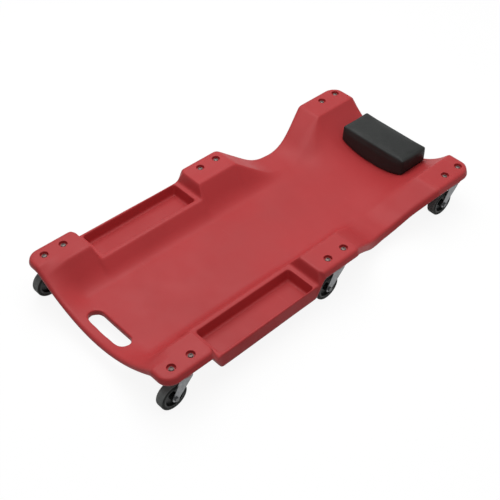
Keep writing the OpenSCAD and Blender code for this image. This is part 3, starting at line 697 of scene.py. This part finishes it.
def tyre_rubber():
    s = Shader("tyre_rubber")
    dust = s.levels(s.noise(38.0, detail=6, rough=0.65), low=0.42, high=0.72)
    # Sidewalls picked out by the way they face and made darker than the tread: partly real wear
    # on the tread, partly painted shade on the sidewalls
    wall_clean_and_shaded = s.levels(s.facing("Y"), low=0.55, high=0.8)
    colour = s.blend(wall_clean_and_shaded, s.blend(dust, *TREAD), s.blend(dust, *TYRE_WALL_CLEAN_AND_SHADED))
    rough = s.roughness(0.62, 0.82, scale=90.0, detail=5)
    fine = s.bump(s.noise(1400.0), strength=0.25, distance=0.0004)
    uneven = s.bump(s.noise(120.0), strength=0.12, distance=0.0008, after=fine)
    return s.finish(colour, rough, uneven, Specular_IOR_Level=0.2)


def black_nylon():
    s = Shader("black_nylon")
    colour = s.blend(s.levels(s.noise(40.0, detail=5), *UPPER_SPAN), *NYLON)
    rough = s.roughness(0.36, 0.52, scale=110.0)
    fine = s.bump(s.noise(800.0, detail=3), strength=0.12, distance=0.0004)
    return s.finish(colour, rough, fine, Specular_IOR_Level=0.3)


def pressed_board():
    s = Shader("pressed_board")
    flakes = s.levels(s.cells(190.0), low=0.1, high=0.8)
    rough = s.roughness(0.65, 0.8, scale=60.0)
    return s.finish(s.blend(flakes, *BOARD), rough, s.bump(flakes, strength=0.3, distance=0.0006))


RED_PLASTIC, BLACK_VINYL = red_plastic(), black_vinyl()
# Each material, and how the names of the nodes that it is for end
NODE_MATERIALS = [
    (RED_PLASTIC, ("deck_shell",)),
    (BLACK_VINYL, ("headrest_pad",)),
    (pressed_board(), ("headrest_board",)),
    (tyre_rubber(), ("_tyre",)),
    (black_nylon(), ("_wheel_core",)),
    (zinc("caster_zinc", CASTER_ZINC, 0.34, 0.50, spangle=260.0),
     ("_fork", "_plate", "kingpins", "retainer_cups")),
    (zinc("axle_zinc", AXLE_ZINC, 0.40, 0.56, spangle=420.0), ("_axle_bolt", "_axle_nut")),
    # Bolt heads get the darkened, red-tinted zinc: painted shade and painted reflection of their
    # red recesses
    (zinc("bolt_zinc", BOLT_ZINC_SHADED_RED, 0.42, 0.58, spangle=420.0),
     ("_bolts", "_nuts", "_washers", "_screws")),
    (zinc("ball_steel", BALL_STEEL, 0.10, 0.20, spangle=600.0), ("_sleeve", "_balls")),
]


def dress(obj, material):
    obj.data.materials.clear()
    obj.data.materials.append(material)


for name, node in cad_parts.items():
    dress(node, next(material for material, ends in NODE_MATERIALS if name.endswith(ends)))

deck = build_deck()
dress(deck, RED_PLASTIC)
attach(deck, "deck")
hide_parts("deck_shell")

headrest = build_headrest()
dress(headrest, BLACK_VINYL)
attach(headrest, "deck")
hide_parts("headrest_pad")


# Floor and light. The tones are what lights the object, and what the camera and mirrors see
FLOOR_HALF, FLOOR_ROUGH = 30.0, 0.9
FLOOR_TONE, FLOOR_GLOW, ROOM_TONE, BACK_TONE = 0.12, 0.90, 0.34, 0.95


def seen_directly(tree):
    """1 for a ray from the camera or sent on by metal or glass, and 0 for rays that light."""
    path = add_node(tree, "ShaderNodeLightPath")
    total = path.outputs["Is Camera Ray"]
    for name in ("Is Glossy Ray", "Is Transmission Ray"):
        add = add_node(tree, "ShaderNodeMath", operation="ADD", use_clamp=True)
        tree.links.new(total, add.inputs[0])
        tree.links.new(path.outputs[name], add.inputs[1])
        total = add.outputs[0]
    return total


def white_floor():
    mat = bpy.data.materials.new("white_floor")
    mat.use_nodes = True
    tree = mat.node_tree
    bsdf, out = tree.nodes["Principled BSDF"], tree.nodes["Material Output"]
    bsdf.inputs["Base Color"].default_value = (FLOOR_TONE, FLOOR_TONE, FLOOR_TONE, 1)
    bsdf.inputs["Roughness"].default_value = FLOOR_ROUGH
    bsdf.inputs["Specular IOR Level"].default_value = 0.0
    lift = add_node(tree, "ShaderNodeMath", operation="MULTIPLY")
    lift.inputs[1].default_value = FLOOR_GLOW
    tree.links.new(seen_directly(tree), lift.inputs[0])
    glow = add_node(tree, "ShaderNodeEmission")
    tree.links.new(lift.outputs[0], glow.inputs["Strength"])
    add = add_node(tree, "ShaderNodeAddShader")
    tree.links.new(bsdf.outputs[0], add.inputs[0])
    tree.links.new(glow.outputs[0], add.inputs[1])
    tree.links.new(add.outputs[0], out.inputs["Surface"])
    return mat


def white_room():
    world = bpy.data.worlds.new("room")
    bpy.context.scene.world = world
    world.use_nodes = True
    tree = world.node_tree
    background = tree.nodes["Background"]
    background.inputs["Color"].default_value = (1, 1, 1, 1)
    tone = add_node(tree, "ShaderNodeMapRange")
    tone.inputs["To Min"].default_value = ROOM_TONE
    tone.inputs["To Max"].default_value = BACK_TONE
    tree.links.new(seen_directly(tree), tone.inputs["Value"])
    tree.links.new(tone.outputs["Result"], background.inputs["Strength"])


def soft_light(name, at, target, size, power):
    data = bpy.data.lights.new(name, "AREA")
    lamp = linked(name, set_all(data, {"shape": "DISK", "size": size, "energy": power}))
    lamp.location = at
    lamp.rotation_mode = "QUATERNION"
    lamp.rotation_quaternion = (Vector(target) - Vector(at)).to_track_quat("-Z", "Y")


corners = [(x * FLOOR_HALF, y * FLOOR_HALF, 0) for x, y in ((-1, -1), (1, -1), (1, 1), (-1, 1))]
floor = new_object("floor", corners, [(0, 1, 2, 3)])
dress(floor, white_floor())
white_room()
soft_light("back_light", at=(0.5, 1.1, 2.2), target=(0, 0, 0.05), size=1.6, power=17)
soft_light("top_light", at=(-0.1, -0.1, 2.4), target=(-0.1, -0.1, 0), size=2.2, power=26)

# The camera, with its angles in degrees, its lens and sensor in mm, and the rest in m
CAM_AZ, CAM_EL, CAM_ROLL, CAM_DIST = -44.525, 43.954, 1.5716, 2.2307
CAM_TARGET = Vector((-0.0780, -0.0438, 0.0700))
CAM_LENS, CAM_SENSOR, CAM_NEAR, CAM_FAR = 71.566, 36.0, 0.05, 100
camera_data = set_all(bpy.data.cameras.new("camera"), {
    "lens": CAM_LENS, "sensor_width": CAM_SENSOR, "clip_start": CAM_NEAR, "clip_end": CAM_FAR})
camera = linked("camera", camera_data)
az, el, roll = (math.radians(a) for a in (CAM_AZ, CAM_EL, CAM_ROLL))
back = Vector((math.sin(az) * math.cos(el), -math.cos(az) * math.cos(el), math.sin(el)))
camera.location = CAM_TARGET + back * CAM_DIST
camera.rotation_mode = "QUATERNION"
look = (-back).to_track_quat("-Z", "Y")
camera.rotation_quaternion = look @ Quaternion((0, 0, 1), roll)
bpy.context.scene.camera = camera
bpy.context.scene.view_settings.view_transform = "Standard"
